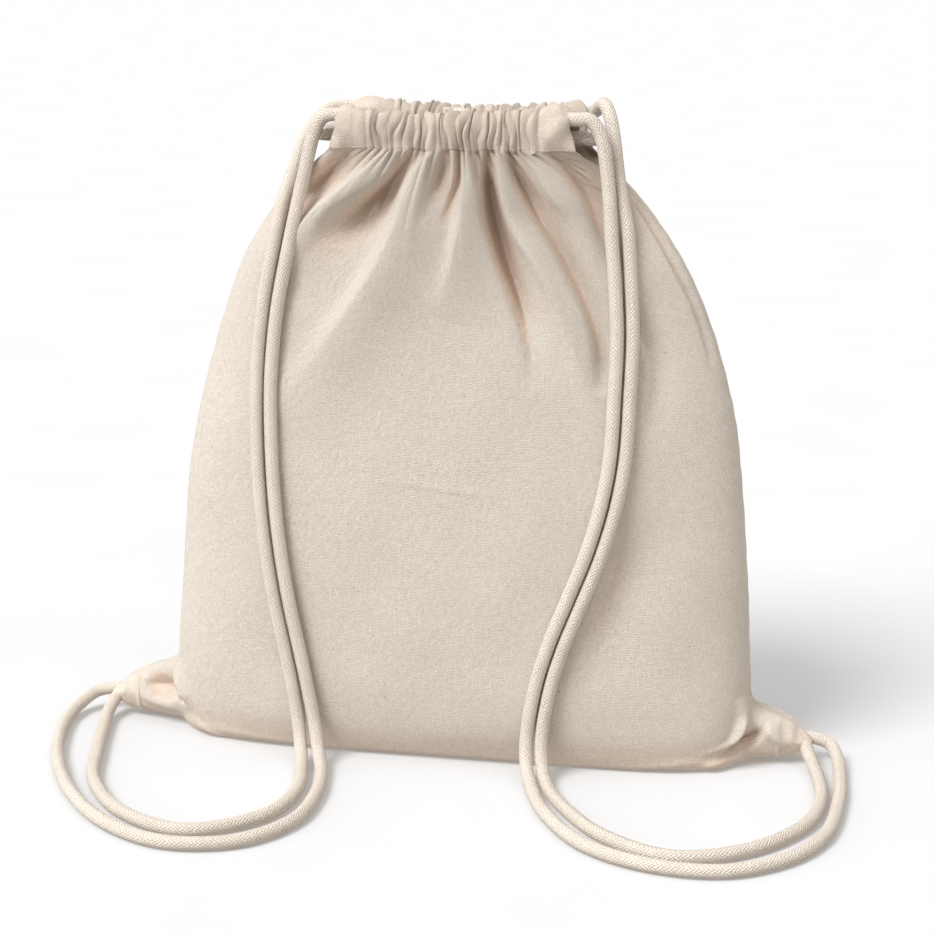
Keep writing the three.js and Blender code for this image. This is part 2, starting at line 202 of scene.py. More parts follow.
# Each fold is a line down the panel: x, z, height (negative is a valley) and width.
FRONT_FOLDS = [
    # valley under the casing's left end
    [(-44, 309, -1.5, 4), (-52, 301, -4.5, 6), (-61, 293, -5, 7), (-70, 283, -3, 8),
     (-80, 268, -0.5, 9)],
    # ridge and valley that run down to the left
    [(-23, 308, 1.5, 5), (-41, 292.6, 4.5, 6.5), (-59, 278, 4.5, 8), (-72, 262, 2.5, 10),
     (-84, 243, 0, 12)],
    [(-12, 309, -1, 3), (-19.5, 299, -4.5, 4), (-28, 288, -6, 5.5), (-41, 277.4, -5, 8),
     (-54, 268, -3.2, 10), (-68, 252, -1.4, 12), (-80, 232, 0, 14)],
    # long ridge
    [(1, 309, 1, 3), (-9, 300, 3, 5), (-15, 291, 4.4, 8), (-20, 270, 4.8, 11.5), (-29, 250, 4.4, 13),
     (-40, 233, 3.5, 13), (-52, 216, 2.5, 14), (-67, 196, 1.3, 15), (-84, 172, 0, 18)],
    # short valleys left of the middle
    [(3, 308, -1.5, 2.5), (-0.5, 298, -3.4, 3), (-3.5, 289, -2.4, 3.4), (-6, 279, -0.8, 4),
     (-8, 270, 0, 5)],
    [(7.7, 309, -2, 2), (7.9, 294, -3, 2.6), (4.7, 281, -1.6, 3.5), (2, 270, 0, 5)],
    # ridge in the middle, then the deep valley
    [(12, 309, 1.5, 3), (11.4, 290, 3.2, 5), (10.5, 272, 3.2, 7), (7, 250, 2, 10), (2, 226, 0, 14)],
    [(22.2, 309, -2.5, 2.4), (21.6, 294, -6, 3.2), (22.8, 279, -8.6, 4.4), (27, 265, -8.8, 5),
     (32, 251, -8, 5.2), (36.4, 241, -6.8, 5.2), (40.6, 229.5, -4.8, 5.4),
     (44.6, 218, -2.2, 6), (47, 205, -0.8, 8), (48, 192, 0, 10)],
    [(16.5, 309, -1.5, 1.8), (18, 294, -2, 2.2), (20, 284, 0, 3)],
    # ridge right of the deep valley, bending outwards
    [(27.6, 309, 1.5, 2.6), (29.5, 290, 3, 4), (35, 271, 3.8, 5.5), (45, 257, 4.4, 6.5),
     (54, 242, 4.2, 7.5), (62, 226, 3.4, 9), (70, 207, 2.2, 11), (78, 186, 0.9, 14), (82, 160, 0, 18)],
    # valley between the two right ridges
    [(32.2, 309, -2.2, 2.2), (35.8, 296, -5.2, 3), (42, 284.4, -5, 3.6), (49, 273, -3.6, 4.4),
     (58, 259, -4.2, 4.6), (67, 243, -5, 4.6), (74, 229, -4.8, 4.8),
     (78.5, 214, -3.4, 5.5), (81, 192, 0, 8)],
    [(42, 309, 1, 3), (51, 291, 3.2, 5.5), (62, 276, 3.2, 7), (72, 258, 2.4, 8), (79, 240, 1, 9),
     (84, 222, 0, 10)],
    # valley under the casing's right end
    [(50, 310, -1, 3), (58, 302, -3.6, 5), (66, 293, -4.4, 7), (73, 282, -3.6, 8), (79, 266, -2, 9),
     (84, 246, 0, 11)],
    # where the side seam rolls to the front at the right shoulder
    [(83, 298, 0, 2), (90, 287, -2.8, 1.7), (97, 276, -3.6, 1.7), (105, 263, -3.8, 1.7),
     (113, 249, -3.6, 1.7), (120, 236, -3, 1.7), (127, 219, -1.8, 1.7), (131.5, 204, 0, 2)],
    # slack right of the right strands
    [(90, 240, 0, 8), (95, 226, -1.2, 6), (103, 212, -1.8, 5), (106, 202, -1.4, 5.5), (104, 186, -0.8, 7),
     (100, 168, 0, 9)],
    # soft hollow low on the right
    [(96, 140, 0, 16), (92, 112, -1.6, 14), (87, 86, -1.8, 14), (82, 60, -0.8, 15), (78, 40, 0, 16)],
    # where the left ear is pinched
    [(-164, 20, 0, 4), (-158, 22, -1.8, 5), (-150, 23, -2.6, 5.5), (-144, 21, -1.8, 4), (-139, 18, 0, 4)],
    [(-150, 33, 0, 2), (-146, 29, -3.4, 1.6), (-142.6, 22.5, -5, 1.6), (-141.4, 18.5, -3, 1.7),
     (-141, 14, 0, 3)],
    [(-143, 37, 0.6, 2.2), (-140.5, 29, 2.6, 2.2), (-138.5, 22, 2.8, 2.4), (-138, 17, 1, 3),
     (-138, 12, 0, 4)],
    [(-170, 13, 0, 3), (-158, 11, 1.4, 4), (-146, 9, 1.2, 5), (-134, 7, 0, 6)],
    # where the right ear is pinched
    [(122, 4, 0, 3), (135, 5, -1.8, 3), (146, 8, -3.4, 3.2), (154, 12, -4.2, 3.4), (159.5, 17, -3.6, 3.4),
     (163, 24, 0, 3)],
    [(149, 38, 0, 3), (150.6, 30, 1.6, 2.6), (149.5, 22, 2.6, 2.8), (146, 15, 1.8, 3.2), (137, 11, 0.6, 4),
     (127, 9, 0, 5)],
    [(158, 24, 0, 3), (164, 18, 1.8, 3), (170, 12, 1.2, 3), (174, 8, 0, 3)],
    # a faint crease left by packing
    [(-34, 147, 0, 3), (-10, 144.5, 0.12, 2), (16, 142, 0.12, 2), (38, 141, 0, 3)],
]
# Dents, where cloth is pushed in: x, z, half width, half height, depth.
FRONT_DENTS = [(-153, 20.5, 9, 7.5, 3.6)]
BACK_DENTS = [(-150, 18, 7, 5, 4), (158, 16, 6, 5, 4)]
BACK_FOLDS = [
    [(-46, 308, -1.5, 4), (-62, 292, -4.5, 7), (-76, 272, -2.5, 9), (-86, 250, 0, 12)],
    [(-30, 308, 1.5, 4), (-44, 290, 4, 7), (-60, 268, 4, 9), (-76, 238, 2, 12), (-90, 205, 0, 16)],
    [(-22, 309, -2, 3), (-27, 294, -5, 4), (-36, 274, -5.4, 6), (-47, 250, -3.6, 9), (-58, 222, 0, 13)],
    [(-9, 309, 1.5, 4), (-13, 288, 4, 7), (-19, 262, 3.6, 10), (-26, 228, 1.6, 14), (-34, 190, 0, 18)],
    [(2, 309, -2, 3), (1, 292, -5.6, 4), (-1, 270, -6, 5.5), (-4, 246, -4, 7), (-8, 216, 0, 11)],
    [(13, 309, 1.5, 4), (16, 288, 4, 6), (20, 262, 3.8, 9), (26, 226, 1.8, 13), (31, 186, 0, 17)],
    [(24, 309, -2, 3), (29, 292, -4.8, 4), (36, 272, -4.8, 6), (46, 248, -3, 9), (55, 218, 0, 12)],
    [(36, 309, 1.5, 4), (46, 290, 3.8, 6), (60, 266, 3.6, 9), (76, 236, 1.8, 12), (90, 204, 0, 16)],
    [(50, 308, -1.5, 3), (64, 293, -4.4, 6), (79, 272, -3, 8), (92, 248, 0, 11)],
    [(-60, 120, 0, 18), (-52, 84, -1.6, 18), (-48, 50, 0, 18)],
    [(56, 150, 0, 16), (62, 110, -1.5, 16), (60, 70, 0, 16)],
]

# ---- seams and stitches ----
CASING_STITCH_ROW = 4      # row of a casing's grid that its stitches follow
SEAM_GAP = 2.6             # from a side seam's line to the edge of its allowance
ALLOWANCE_WIDTH = 7.2
ALLOWANCE_THICKNESS = 1.0
ALLOWANCE_STEPS = 5        # points across an allowance
OVERLOCK_ACROSS = np.array([3.6, 7.6, 7.6, 3.6])     # the four turns of the overlock thread
OVERLOCK_ACROSS_BOTTOM = np.array([4.0, 7.9, 7.9, 4.0])
OVERLOCK_ASIDE = np.array([-0.8, -0.8, 0.9, 0.9])
OVERLOCK_RADIUS = 0.22

# ---- colours, as linear light ----
CANVAS_COLOR = (0.90, 0.872, 0.815)
# Darker for uneven yarns, clouds and single yarn crossings, and painted shade in the hollows between
# yarns.
CANVAS_DARK = (0.52, 0.41, 0.31)
# Painted warm shade in fold valleys and on flanks turned from the key light, and painted warm glow low on
# the sack and over the gathers near the top.
CANVAS_WARM_SHADE_AND_GLOW = (0.985, 0.81, 0.69)
# Painted deep shade in the deepest fold valleys and hollows.
CANVAS_DEEP_SHADE = (0.50, 0.325, 0.235)
CORD_COLOR = (0.91, 0.85, 0.765)
# Darker fibres and patches, and painted shade between the braid's yarns.
CORD_DARK = (0.42, 0.31, 0.225)
FLECK_COLOR = (0.22, 0.14, 0.09)
THREAD_COLOR = (0.80, 0.73, 0.64)
THREAD_PITCH = 0.7         # from one yarn of the canvas to the next


# ---- small helpers ----
def curve_through(points, step=1.0):
    """The centripetal Catmull-Rom curve through the points, sampled about every step."""
    points = np.array(points, float)
    ends = np.vstack([2 * points[0] - points[1], points, 2 * points[-1] - points[-2]])
    samples = []
    for p0, p1, p2, p3 in zip(ends, ends[1:], ends[2:], ends[3:]):
        d0, d1, d2 = (np.linalg.norm(b - a) ** 0.5 for a, b in ((p0, p1), (p1, p2), (p2, p3)))
        t1 = d1 * ((p1 - p0) / d0 - (p2 - p0) / (d0 + d1) + (p2 - p1) / d1)
        t2 = d1 * ((p2 - p1) / d1 - (p3 - p1) / (d1 + d2) + (p3 - p2) / d2)
        count = max(3, int(np.linalg.norm(p2 - p1) / step))
        for t in np.linspace(0, 1, count, endpoint=False):
            bend = (2 * p1 - 2 * p2 + t1 + t2) * t ** 3 + (-3 * p1 + 3 * p2 - 2 * t1 - t2) * t ** 2
            samples.append(p1 + t1 * t + bend)
    samples.append(points[-1])
    return np.array(samples)


def evenly(line, count):
    """count points at equal distances along a sampled line."""
    along = np.concatenate([[0], np.cumsum(np.linalg.norm(np.diff(line, axis=0), axis=1))])
    at = np.linspace(0, along[-1], count)
    return np.stack([np.interp(at, along, column) for column in line.T], axis=1)


def smooth_table(x, table):
    """A smooth curve through the rows of a table, whose first column is x."""
    table = np.asarray(table, float)
    keys = table[:, 0]
    slopes = np.gradient(table[:, 1:], keys, axis=0)
    x = np.clip(x, keys[0], keys[-1])
    k = np.clip(np.searchsorted(keys, x) - 1, 0, len(keys) - 2)
    span = (keys[k + 1] - keys[k])[..., None]
    t = (x[..., None] - keys[k][..., None]) / span
    low, high = table[k, 1:], table[k + 1, 1:]
    return (
        (2 * t ** 3 - 3 * t ** 2 + 1) * low + (3 * t ** 2 - 2 * t ** 3) * high
        + span * ((t ** 3 - 2 * t ** 2 + t) * slopes[k] + (t ** 3 - t ** 2) * slopes[k + 1])
    )


def ease(x, start, end):
    """0 before start, 1 after end, smooth between."""
    t = np.clip((x - start) / (end - start), 0, 1)
    return t * t * (3 - 2 * t)


def direction(azimuth, elevation):
    """Unit vector towards a place seen from the bag; azimuth turns from the front."""
    return Vector((
        math.sin(azimuth) * math.cos(elevation),
        -math.cos(azimuth) * math.cos(elevation),
        math.sin(elevation),
    ))


def superellipse(angle, square):
    """Points on a superellipse of half size 1."""
    cosine, sine = np.cos(angle), np.sin(angle)
    power = 2 / square
    return np.sign(cosine) * abs(cosine) ** power, np.sign(sine) * abs(sine) ** power


def grid_faces(rows, columns, flip=False, ring=False):
    """Quads of a grid of points, joined across its columns if ring."""
    index = np.arange(rows * columns).reshape(rows, columns)
    if ring:
        index = np.hstack([index, index[:, :1]])
    quads = np.stack([index[:-1, :-1], index[:-1, 1:], index[1:, 1:], index[1:, :-1]], axis=-1)
    quads = quads.reshape(-1, 4)
    return quads[:, ::-1] if flip else quads


def make_object(name, points, faces, material=None):
    """A smooth-shaded mesh object from points in millimetres."""
    mesh = bpy.data.meshes.new(name)
    mesh.from_pydata((np.asarray(points) * MM).tolist(), [], [list(face) for face in faces])
    mesh.polygons.foreach_set("use_smooth", [True] * len(mesh.polygons))
    if material:
        mesh.materials.append(material)
    piece = bpy.data.objects.new(name, mesh)
    bpy.context.scene.collection.objects.link(piece)
    return piece


def join_parts(parts):
    """Several (points, faces) as one."""
    points, faces, start = [], [], 0
    for part_points, part_faces in parts:
        points.append(part_points)
        faces += [[start + i for i in face] for face in part_faces]
        start += len(part_points)
    return np.vstack(points), faces


def set_uv(piece, uv_of_vertex, girth=None):
    """Gives each corner of the mesh its vertex's UV; girth is where u starts again round a tube."""
    mesh = piece.data
    corner_vertex = np.empty(len(mesh.loops), np.int32)
    mesh.loops.foreach_get("vertex_index", corner_vertex)
    uv = np.asarray(uv_of_vertex, float)[corner_vertex]
    if girth:
        quads = len(corner_vertex) // 4 * 4
        u = uv[:quads, 0].reshape(-1, 4)
        crosses = (u.max(axis=1) - u.min(axis=1) > girth / 2)[:, None]
        uv[:quads, 0] = np.where(crosses & (u < girth / 2), u + girth, u).ravel()
    layer = mesh.uv_layers.new(name="cloth")
    layer.uv.foreach_set("vector", uv.ravel())


def set_value(piece, name, value_of_vertex):
    """Gives each vertex of the mesh a value that its material can read."""
    attribute = piece.data.attributes.new(name, "FLOAT", "POINT")
    attribute.data.foreach_set("value", np.asarray(value_of_vertex, np.float32).ravel())


def apply_modifiers(piece):
    """Replaces the piece's mesh by the one its modifiers make."""
    graph = bpy.context.evaluated_depsgraph_get()
    mesh = bpy.data.meshes.new_from_object(piece.evaluated_get(graph), depsgraph=graph)
    piece.modifiers.clear()
    piece.data = mesh


def thicken(piece, thickness):
    """Gives a sheet its thickness, away from the side its normals point to."""
    solidify = piece.modifiers.new("thickness", "SOLIDIFY")
    solidify.thickness = thickness * MM
    solidify.offset = -1
    apply_modifiers(piece)


def frames_along(path):
    """Two directions square to the path at each point, carried along it without twist."""
    tangents = np.gradient(path, axis=0)
    tangents /= np.linalg.norm(tangents, axis=1)[:, None]
    side = np.cross(tangents[0], (0, 0, 1))
    side /= np.linalg.norm(side)
    sides = [side]
    for tangent in tangents[1:]:
        side = side - tangent * side.dot(tangent)
        side /= np.linalg.norm(side)
        sides.append(side)
    sides = np.array(sides)
    return sides, np.cross(tangents, sides)


def tube(path, radius, sides):
    """Points and faces of a round tube along a path."""
    across, up = frames_along(path)
    angle = np.linspace(0, 2 * math.pi, sides, endpoint=False)
    radius = np.broadcast_to(radius, (len(path), sides))[..., None]
    spokes = across[:, None] * np.cos(angle)[None, :, None] + up[:, None] * np.sin(angle)[None, :, None]
    points = path[:, None] + spokes * radius
    return points.reshape(-1, 3), grid_faces(len(path), sides, flip=True, ring=True)


# ---- materials ----
class Nodes:
    """A material's node tree, with short ways to add what the materials here use."""

    def __init__(self, name, roughness):
        self.material = bpy.data.materials.new(name)
        self.material.use_nodes = True
        self.tree = self.material.node_tree
        self.shader = self.tree.nodes["Principled BSDF"]
        self.shader.inputs["Roughness"].default_value = roughness

    def add(self, kind, inputs=None, **values):
        node = self.tree.nodes.new(kind)
        for key, value in values.items():
            setattr(node, key, value)
        for key, value in (inputs or {}).items():
            self.feed(node.inputs[key], value)
        return node

    def feed(self, socket, value):
        if isinstance(value, bpy.types.NodeSocket):
            self.tree.links.new(value, socket)
        else:
            socket.default_value = value

    def math(self, operation, *values):
        node = self.add("ShaderNodeMath", operation=operation)
        for socket, value in zip(node.inputs, values):
            self.feed(socket, value)
        return node.outputs[0]

    def times(self, first, second):
        return self.math("MULTIPLY", first, second)

    def plus(self, first, second):
        return self.math("ADD", first, second)

    def minus(self, first, second):
        return self.math("SUBTRACT", first, second)

    def mix(self, factor, first, second):
        node = self.add("ShaderNodeMix", data_type="RGBA")
        colors = [socket for socket in node.inputs if socket.type == "RGBA"]
        self.feed(node.inputs[0], factor)
        for socket, value in zip(colors, (first, second)):
            self.feed(socket, (*value, 1) if isinstance(value, tuple) else value)
        return next(socket for socket in node.outputs if socket.type == "RGBA")

    def tinted(self, color, mask, amount, tint):
        """color, turned towards tint by amount where mask is 1."""
        return self.mix(self.times(mask, amount), color, tint)

    def stretched(self, vector, scale):
        return self.add("ShaderNodeMapping", {"Vector": vector, "Scale": scale}).outputs[0]

    def noise(self, vector, scale, detail=2.0):
        inputs = {"Vector": vector, "Scale": scale, "Detail": detail}
        return self.add("ShaderNodeTexNoise", inputs).outputs["Fac"]

    def limits(self, value, low, high):
        """value from low to high, as 0 to 1."""
        inputs = {"Value": value, "From Min": low, "From Max": high}
        return self.add("ShaderNodeMapRange", inputs).outputs[0]

    def bump(self, height, distance, strength=1.0):
        inputs = {"Height": height, "Distance": distance, "Strength": strength}
        self.feed(self.shader.inputs["Normal"], self.add("ShaderNodeBump", inputs).outputs[0])

    def finish(self, color, sheen):
        self.feed(self.shader.inputs["Base Color"], color)
        self.shader.inputs["Sheen Weight"].default_value = sheen
        self.shader.inputs["Sheen Roughness"].default_value = 0.6
        self.shader.inputs["Specular IOR Level"].default_value = 0.15
        return self.material


def canvas_material():
    """Unbleached plain weave: uneven yarns both ways, pale slubs and small seed flecks, painted shade in
    the hollows between yarns, and the painted shade and warm glow each piece carries.
    """
    n = Nodes("canvas", 0.92)
    uv = n.add("ShaderNodeUVMap", uv_map="cloth").outputs[0]
    yarns = 1 / (THREAD_PITCH * MM)
    split = n.add("ShaderNodeSeparateXYZ", {0: n.stretched(uv, (yarns, yarns * 0.94, 1))})
    stray = n.times(n.minus(n.noise(uv, 260), 0.5), 2.4)
    across, along = n.plus(split.outputs[0], stray), n.minus(split.outputs[1], stray)
    warp_round = n.math("SINE", n.times(n.math("FRACT", across), math.pi))
    weft_round = n.math("SINE", n.times(n.math("FRACT", along), math.pi))
    warp_number, weft_number = n.math("FLOOR", across), n.math("FLOOR", along)
    over = n.times(n.math("FRACT", n.times(n.plus(warp_number, weft_number), 0.5)), 2.0)
    warp = n.times(warp_round, n.plus(0.55, n.times(weft_round, 0.45)))
    weft = n.times(weft_round, n.plus(0.55, n.times(warp_round, 0.45)))
    weave = n.plus(n.times(warp, over), n.times(weft, n.minus(1.0, over)))
    warp_slub = n.noise(n.stretched(uv, (1, 0.2, 1)), 1000, 3)
    weft_slub = n.noise(n.stretched(uv, (0.3, 1, 1)), 940, 3)
    slub = n.plus(warp_slub, weft_slub)
    n.bump(n.plus(n.times(weave, 0.8), n.times(slub, 0.55)), 0.0003)

    # Painted shade, warm, where the cloth lies in a fold or turns from the key light, and painted warm
    # glow low on the sack and near the top; painted deep shade in the deepest valleys.
    painted_shade = n.add("ShaderNodeAttribute", attribute_name="painted_shade").outputs["Fac"]
    painted_deep_shade = n.add("ShaderNodeAttribute", attribute_name="painted_deep_shade").outputs["Fac"]
    color = n.tinted(CANVAS_COLOR, painted_shade, 0.9, CANVAS_WARM_SHADE_AND_GLOW)
    color = n.tinted(color, painted_deep_shade, 0.85, CANVAS_DEEP_SHADE)
    crossing = n.add("ShaderNodeCombineXYZ", {0: warp_number, 1: weft_number}).outputs[0]
    each_crossing = n.add("ShaderNodeTexWhiteNoise", noise_dimensions="2D")
    n.feed(each_crossing.inputs["Vector"], crossing)
    darker = (
        (n.limits(slub, 0.78, 1.22), 0.16),  # uneven yarns
        (n.limits(n.noise(uv, 22, 3), 0.3, 0.7), 0.05),  # broad clouds
        (n.limits(n.noise(uv, 210, 3), 0.3, 0.7), 0.08),  # small clouds
        (n.limits(weave, 0.62, 0.05), 0.85),  # painted shade in the hollows between yarns
        (each_crossing.outputs["Value"], 0.3),
    )
    for mask, amount in darker:
        color = n.tinted(color, mask, amount, CANVAS_DARK)
    fleck = n.limits(n.noise(n.stretched(uv, (1, 0.6, 1)), 700, 1), 0.735, 0.78)
    return n.finish(n.tinted(color, fleck, 0.5, FLECK_COLOR), 0.10)


def cord_material():
    """Braided cotton: painted shade between the yarns, fine fibres along them, a few specks."""
    n = Nodes("braided_cord", 0.9)
    uv = n.add("ShaderNodeUVMap", uv_map="cloth").outputs[0]
    split = n.add("ShaderNodeSeparateXYZ", {0: uv})
    round_way = n.times(split.outputs[0], BRAID_STRANDS / (math.pi * CORD_DIAMETER * MM))
    stray = n.times(n.minus(n.noise(uv, 300, 1), 0.5), 0.8)
    along = n.plus(n.times(split.outputs[1], 1 / (BRAID_PITCH * MM)), stray)
    first, second = n.plus(round_way, along), n.minus(round_way, along)
    layers = n.plus(n.math("FLOOR", first), n.math("FLOOR", second))
    on_top = n.math("LESS_THAN", n.math("FRACT", n.times(layers, 0.25)), 0.49)
    below = n.minus(1.0, on_top)
    first, second = n.math("FRACT", first), n.math("FRACT", second)
    yarn = n.plus(n.times(first, on_top), n.times(second, below))
    crossing = n.plus(n.times(second, on_top), n.times(first, below))
    over = n.plus(0.5, n.times(n.math("SINE", n.times(crossing, math.pi)), 0.5))
    crown = n.times(n.math("SINE", n.times(yarn, math.pi)), over)
    fibres = n.noise(n.stretched(uv, (1, 0.5, 1)), 2400)
    n.bump(n.plus(n.times(fibres, 0.7), crown), 0.00045)
    # Painted shade between the braid's yarns, where the crown is low.
    color = n.tinted(CORD_COLOR, n.limits(crown, 0.6, 0.0), 0.6, CORD_DARK)
    color = n.tinted(color, n.limits(n.noise(uv, 90), 0.35, 0.7), 0.10, CORD_DARK)
    color = n.tinted(color, n.limits(fibres, 0.45, 0.75), 0.26, CORD_DARK)
    fleck = n.limits(n.noise(uv, 900, 1), 0.71, 0.76)
    return n.finish(n.tinted(color, fleck, 0.6, FLECK_COLOR), 0.12)


def thread_material():
    """Cotton sewing thread with a fine twist."""
    n = Nodes("sewing_thread", 0.75)
    place = n.add("ShaderNodeTexCoord").outputs["Object"]
    n.bump(n.noise(place, 3200), 0.0001, 0.6)
    color = n.mix(n.limits(n.noise(place, 900), 0.3, 0.8), THREAD_COLOR, CORD_DARK)
    return n.finish(n.mix(0.3, THREAD_COLOR, color), 0.1)


def floor_material():
    """A matt white studio sweep with a trace of paper grain."""
    n = Nodes("studio_paper", 0.9)
    place = n.add("ShaderNodeTexCoord").outputs["Object"]
    grain = n.limits(n.noise(place, 9), 0.2, 0.8)
    n.shader.inputs["Emission Color"].default_value = (1, 1, 1, 1)
    n.shader.inputs["Emission Strength"].default_value = FLOOR_GLOW
    return n.finish(n.mix(grain, (0.655, 0.67, 0.69), (0.685, 0.70, 0.72)), 0.0)


# ---- camera, floor, lights ----
def add_camera():
    back = direction(CAMERA_AZIMUTH, CAMERA_ELEVATION)
    camera = bpy.data.objects.new("camera", bpy.data.cameras.new("camera"))
    camera.data.lens = LENS_MM
    camera.data.clip_end = CAMERA_REACH
    camera.location = CAMERA_TARGET + back * CAMERA_DISTANCE
    camera.rotation_euler = (-back).to_track_quat("-Z", "Y").to_euler()
    bpy.context.scene.collection.objects.link(camera)
    bpy.context.scene.camera = camera


def add_sun(name, azimuth, elevation, width, strength):
    light = bpy.data.lights.new(name, "SUN")
    light.energy = strength
    light.angle = math.radians(width)
    lamp = bpy.data.objects.new(name, light)
    towards = direction(math.radians(azimuth), math.radians(elevation))
    lamp.rotation_euler = towards.to_track_quat("Z", "Y").to_euler()
    bpy.context.scene.collection.objects.link(lamp)


def add_studio():
    """A white floor without end, two wide lights from the left, one overhead and an even fill."""
    corners = [(x * FLOOR_HALF, y * FLOOR_HALF, 0) for x, y in ((-1, -1), (1, -1), (1, 1), (-1, 1))]
    floor = make_object("studio_floor", corners, [(0, 1, 2, 3)], floor_material())
    floor.visible_diffuse = False
    for name, sun in SUNS.items():
        add_sun(name, *sun)
    world = bpy.data.worlds.new("studio")
    world.use_nodes = True
    background = world.node_tree.nodes["Background"]
    background.inputs["Color"].default_value = FILL_COLOR
    background.inputs["Strength"].default_value = FILL_STRENGTH
    bpy.context.scene.world = world
    bpy.context.scene.view_settings.view_transform = "Standard"


# ---- cords ----
def braid_height(angle, along):
    """Height of a two-over-two braid, 0 between the yarns and 1 on their crowns."""
    first = BRAID_STRANDS * angle / (2 * math.pi) + along / BRAID_PITCH
    second = BRAID_STRANDS * angle / (2 * math.pi) - along / BRAID_PITCH
    on_top = (np.floor(first) + np.floor(second)) % 4 < 2
    yarn = np.where(on_top, first % 1, second % 1)
    crossing = np.where(on_top, second % 1, first % 1)
    return np.sin(math.pi * yarn) ** 0.8 * (0.55 + 0.45 * np.sin(math.pi * crossing))


def add_cord(name, node, route, material):
    path = curve_through(route)
    length = np.linalg.norm(np.diff(path, axis=0), axis=1).sum()
    path = evenly(path, int(length / CORD_RING_STEP))
    along = np.linspace(0, length, len(path))
    angle = np.linspace(0, 2 * math.pi, CORD_SIDES, endpoint=False)
    crown = braid_height(angle[None, :], along[:, None])
    radius = CORD_DIAMETER / 2 - BRAID_RELIEF * (1 - crown)
    points, faces = tube(path, radius, CORD_SIDES)
    caps = [list(range(CORD_SIDES))[::-1], [len(points) - CORD_SIDES + i for i in range(CORD_SIDES)]]
    piece = make_object(name, points, [*faces.tolist(), *caps], material)
    girth = math.pi * CORD_DIAMETER * MM
    round_way = angle / (2 * math.pi) * girth
    uv = np.stack(np.broadcast_arrays(round_way[None, :], along[:, None] * MM), axis=-1)
    set_uv(piece, uv.reshape(-1, 2), girth)
    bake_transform(piece)
    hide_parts(node)


# ---- the sack's shape ----
def loft(rings):
    """Closed skin over rings of points, with flat ends."""
    count = len(rings[0])
    points = np.vstack(rings)
    faces = grid_faces(len(rings), count, ring=True).tolist()
    faces.append(list(range(count))[::-1])
    faces.append([len(points) - count + i for i in range(count)])
    return points, faces


def sack_surface():
    """The smooth outside of the filled sack and its two ears, as a tree to find points on."""
    angle = np.linspace(0, 2 * math.pi, 96, endpoint=False)
    heights = np.linspace(0, LEVELS[-1, 0], 60)
    rings = []
    for z, (left, right, depth, square) in zip(heights, smooth_table(heights, LEVELS)):
        x, y = superellipse(angle, square)
        x = (left + right) / 2 + (right - left) / 2 * x
        rings.append(np.stack([x, depth * y, z + 0 * x], axis=1))
    parts = [loft(rings)]
    for side, column in ((-1, 0), (1, 1)):
        ear_rings = []
        for row in EAR:
            y, z = superellipse(angle, 2.4)
            middle, half_height = row[2 + 2 * column], row[3 + 2 * column]
            x = side * row[column] + 0 * y
            ear_rings.append(np.stack([x, side * row[6] * y, middle + half_height * z], axis=1))
        parts.append(loft(ear_rings))
    form = make_object("sack_form", *join_parts(parts))
    remesh = form.modifiers.new("remesh", "REMESH")
    remesh.voxel_size = 2.6 * MM
    smooth = form.modifiers.new("smooth", "SMOOTH")
    smooth.iterations = 9
    apply_modifiers(form)
    tree = BVHTree.FromObject(form, bpy.context.evaluated_depsgraph_get())
    bpy.data.objects.remove(form)
    return tree


def project(tree, points, side):
    """The nearest points on the surface, kept on their own side of the seam and off the floor."""
    flat = points.reshape(-1, 3)
    found = np.array([tree.find_nearest(Vector(p * MM))[0] for p in flat]) / MM
    found[:, 1] = side * np.maximum(side * found[:, 1], 0.2)
    found[:, 2] = np.maximum(found[:, 2], FORM_LOWEST)
    return found.reshape(points.shape)


def crease_spots(creases):
    """Where the creases lie across the flat cloth."""
    return np.linspace(-HALF_CUT + SMOOTH_END, HALF_CUT - SMOOTH_END - SMOOTH_MORE, len(creases))


def gather_place(flat, creases, ends):
    """Where a place across the flat cloth ends up along the gathered mouth."""
    return np.interp(
        flat, [-HALF_CUT, *crease_spots(creases), HALF_CUT], [ends[0], *creases, ends[1]])


def gather_wave(flat, creases):
    """1 on the crest of each gather, 0 in each crease, fading out over the smooth ends."""
    spots = crease_spots(creases)
    turn = np.interp(flat, spots, np.arange(len(creases)), left=0, right=len(creases) - 1)
    fullness = np.random.default_rng(len(creases) + int(abs(creases[0]))).uniform(0.45, 1.25, 64)
    wave = fullness[turn.astype(int)] * np.sin(math.pi * (turn % 1)) ** 0.8
    near_end = ease(abs(flat), HALF_CUT - SMOOTH_END - 34, HALF_CUT - SMOOTH_END + 2)
    wave = wave + (0.62 - wave) * 0.75 * near_end
    inside = ease(flat, spots[0] - 3, spots[0] + 1) * ease(-flat, -spots[-1] - 3, -spots[-1] + 1)
    beyond = np.maximum(spots[0] - flat, flat - spots[-1]) / (SMOOTH_END + 2)
    puff = 0.5 + 0.4 * np.sin(math.pi * np.clip(beyond, 0, 1)) - 0.35 * np.clip(beyond, 0, 1) ** 3
    return inside * wave + (1 - inside) * puff


